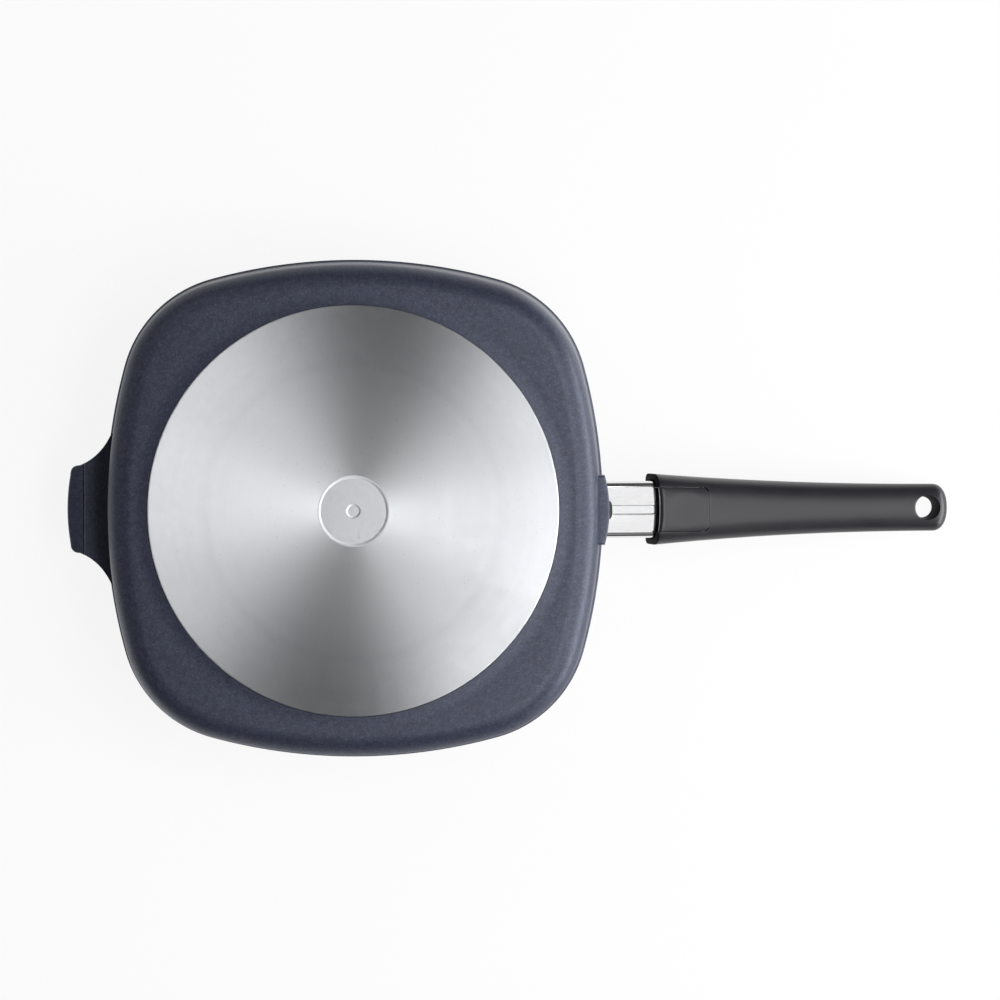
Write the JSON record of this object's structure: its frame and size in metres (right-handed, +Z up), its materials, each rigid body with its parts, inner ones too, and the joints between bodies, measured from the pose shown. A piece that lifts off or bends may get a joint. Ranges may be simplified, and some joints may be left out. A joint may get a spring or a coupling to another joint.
{
  "type": "square frying pan",
  "caption": "Square cast aluminium frying pan with a turned base, flared rim, helper lug and a pull-off moulded handle that a release lever under the grip unlocks.",
  "frame": {"origin": "centre of the turned base, on the face that the pan stands on", "axes": "+X out along the handle, +Z up out of the pan, +Y to complete the right-handed frame"},
  "size_m": [0.5153, 0.29, 0.0776],
  "materials": {
    "pan_coating": "satin",
    "turned_aluminium": "satin",
    "gasket_black": "matte",
    "bright_metal": "satin",
    "polished_steel": "polished",
    "plain_steel": "satin",
    "spring_steel": "satin",
    "grip_black": "satin",
    "lever_black": "satin"
  },
  "bodies": {
    "pan": {"pan_body": "pan_coating", "boss_gasket": "gasket_black", "stub_core": "bright_metal", "stub_sleeve": "polished_steel", "stub_screw_left": "plain_steel", "stub_screw_right": "plain_steel", "stub_washer_left": "plain_steel", "stub_washer_right": "plain_steel"},
    "handle": {"handle_grip": "grip_black", "lever_pin": "plain_steel", "catch_spring": "spring_steel", "catch_screw_left": "plain_steel", "catch_screw_right": "plain_steel"},
    "lever": {"release_lever": "lever_black"}
  },
  "joints": [
    {"name": "handle_slide", "type": "slide", "parent": "pan", "child": "handle", "axis": [0.9703, 0, 0.2419], "range_m": [0, 0.06], "deforming": ["catch_spring"]},
    {"name": "lever_press", "type": "hinge", "parent": "handle", "child": "lever", "pos_m": [0.20241, 0, 0.03194], "axis": [0, 1, 0], "range_deg": [0, 6.5], "stiffness_Nm_per_rad": 0.6, "deforming": ["catch_spring"]}
  ]
}
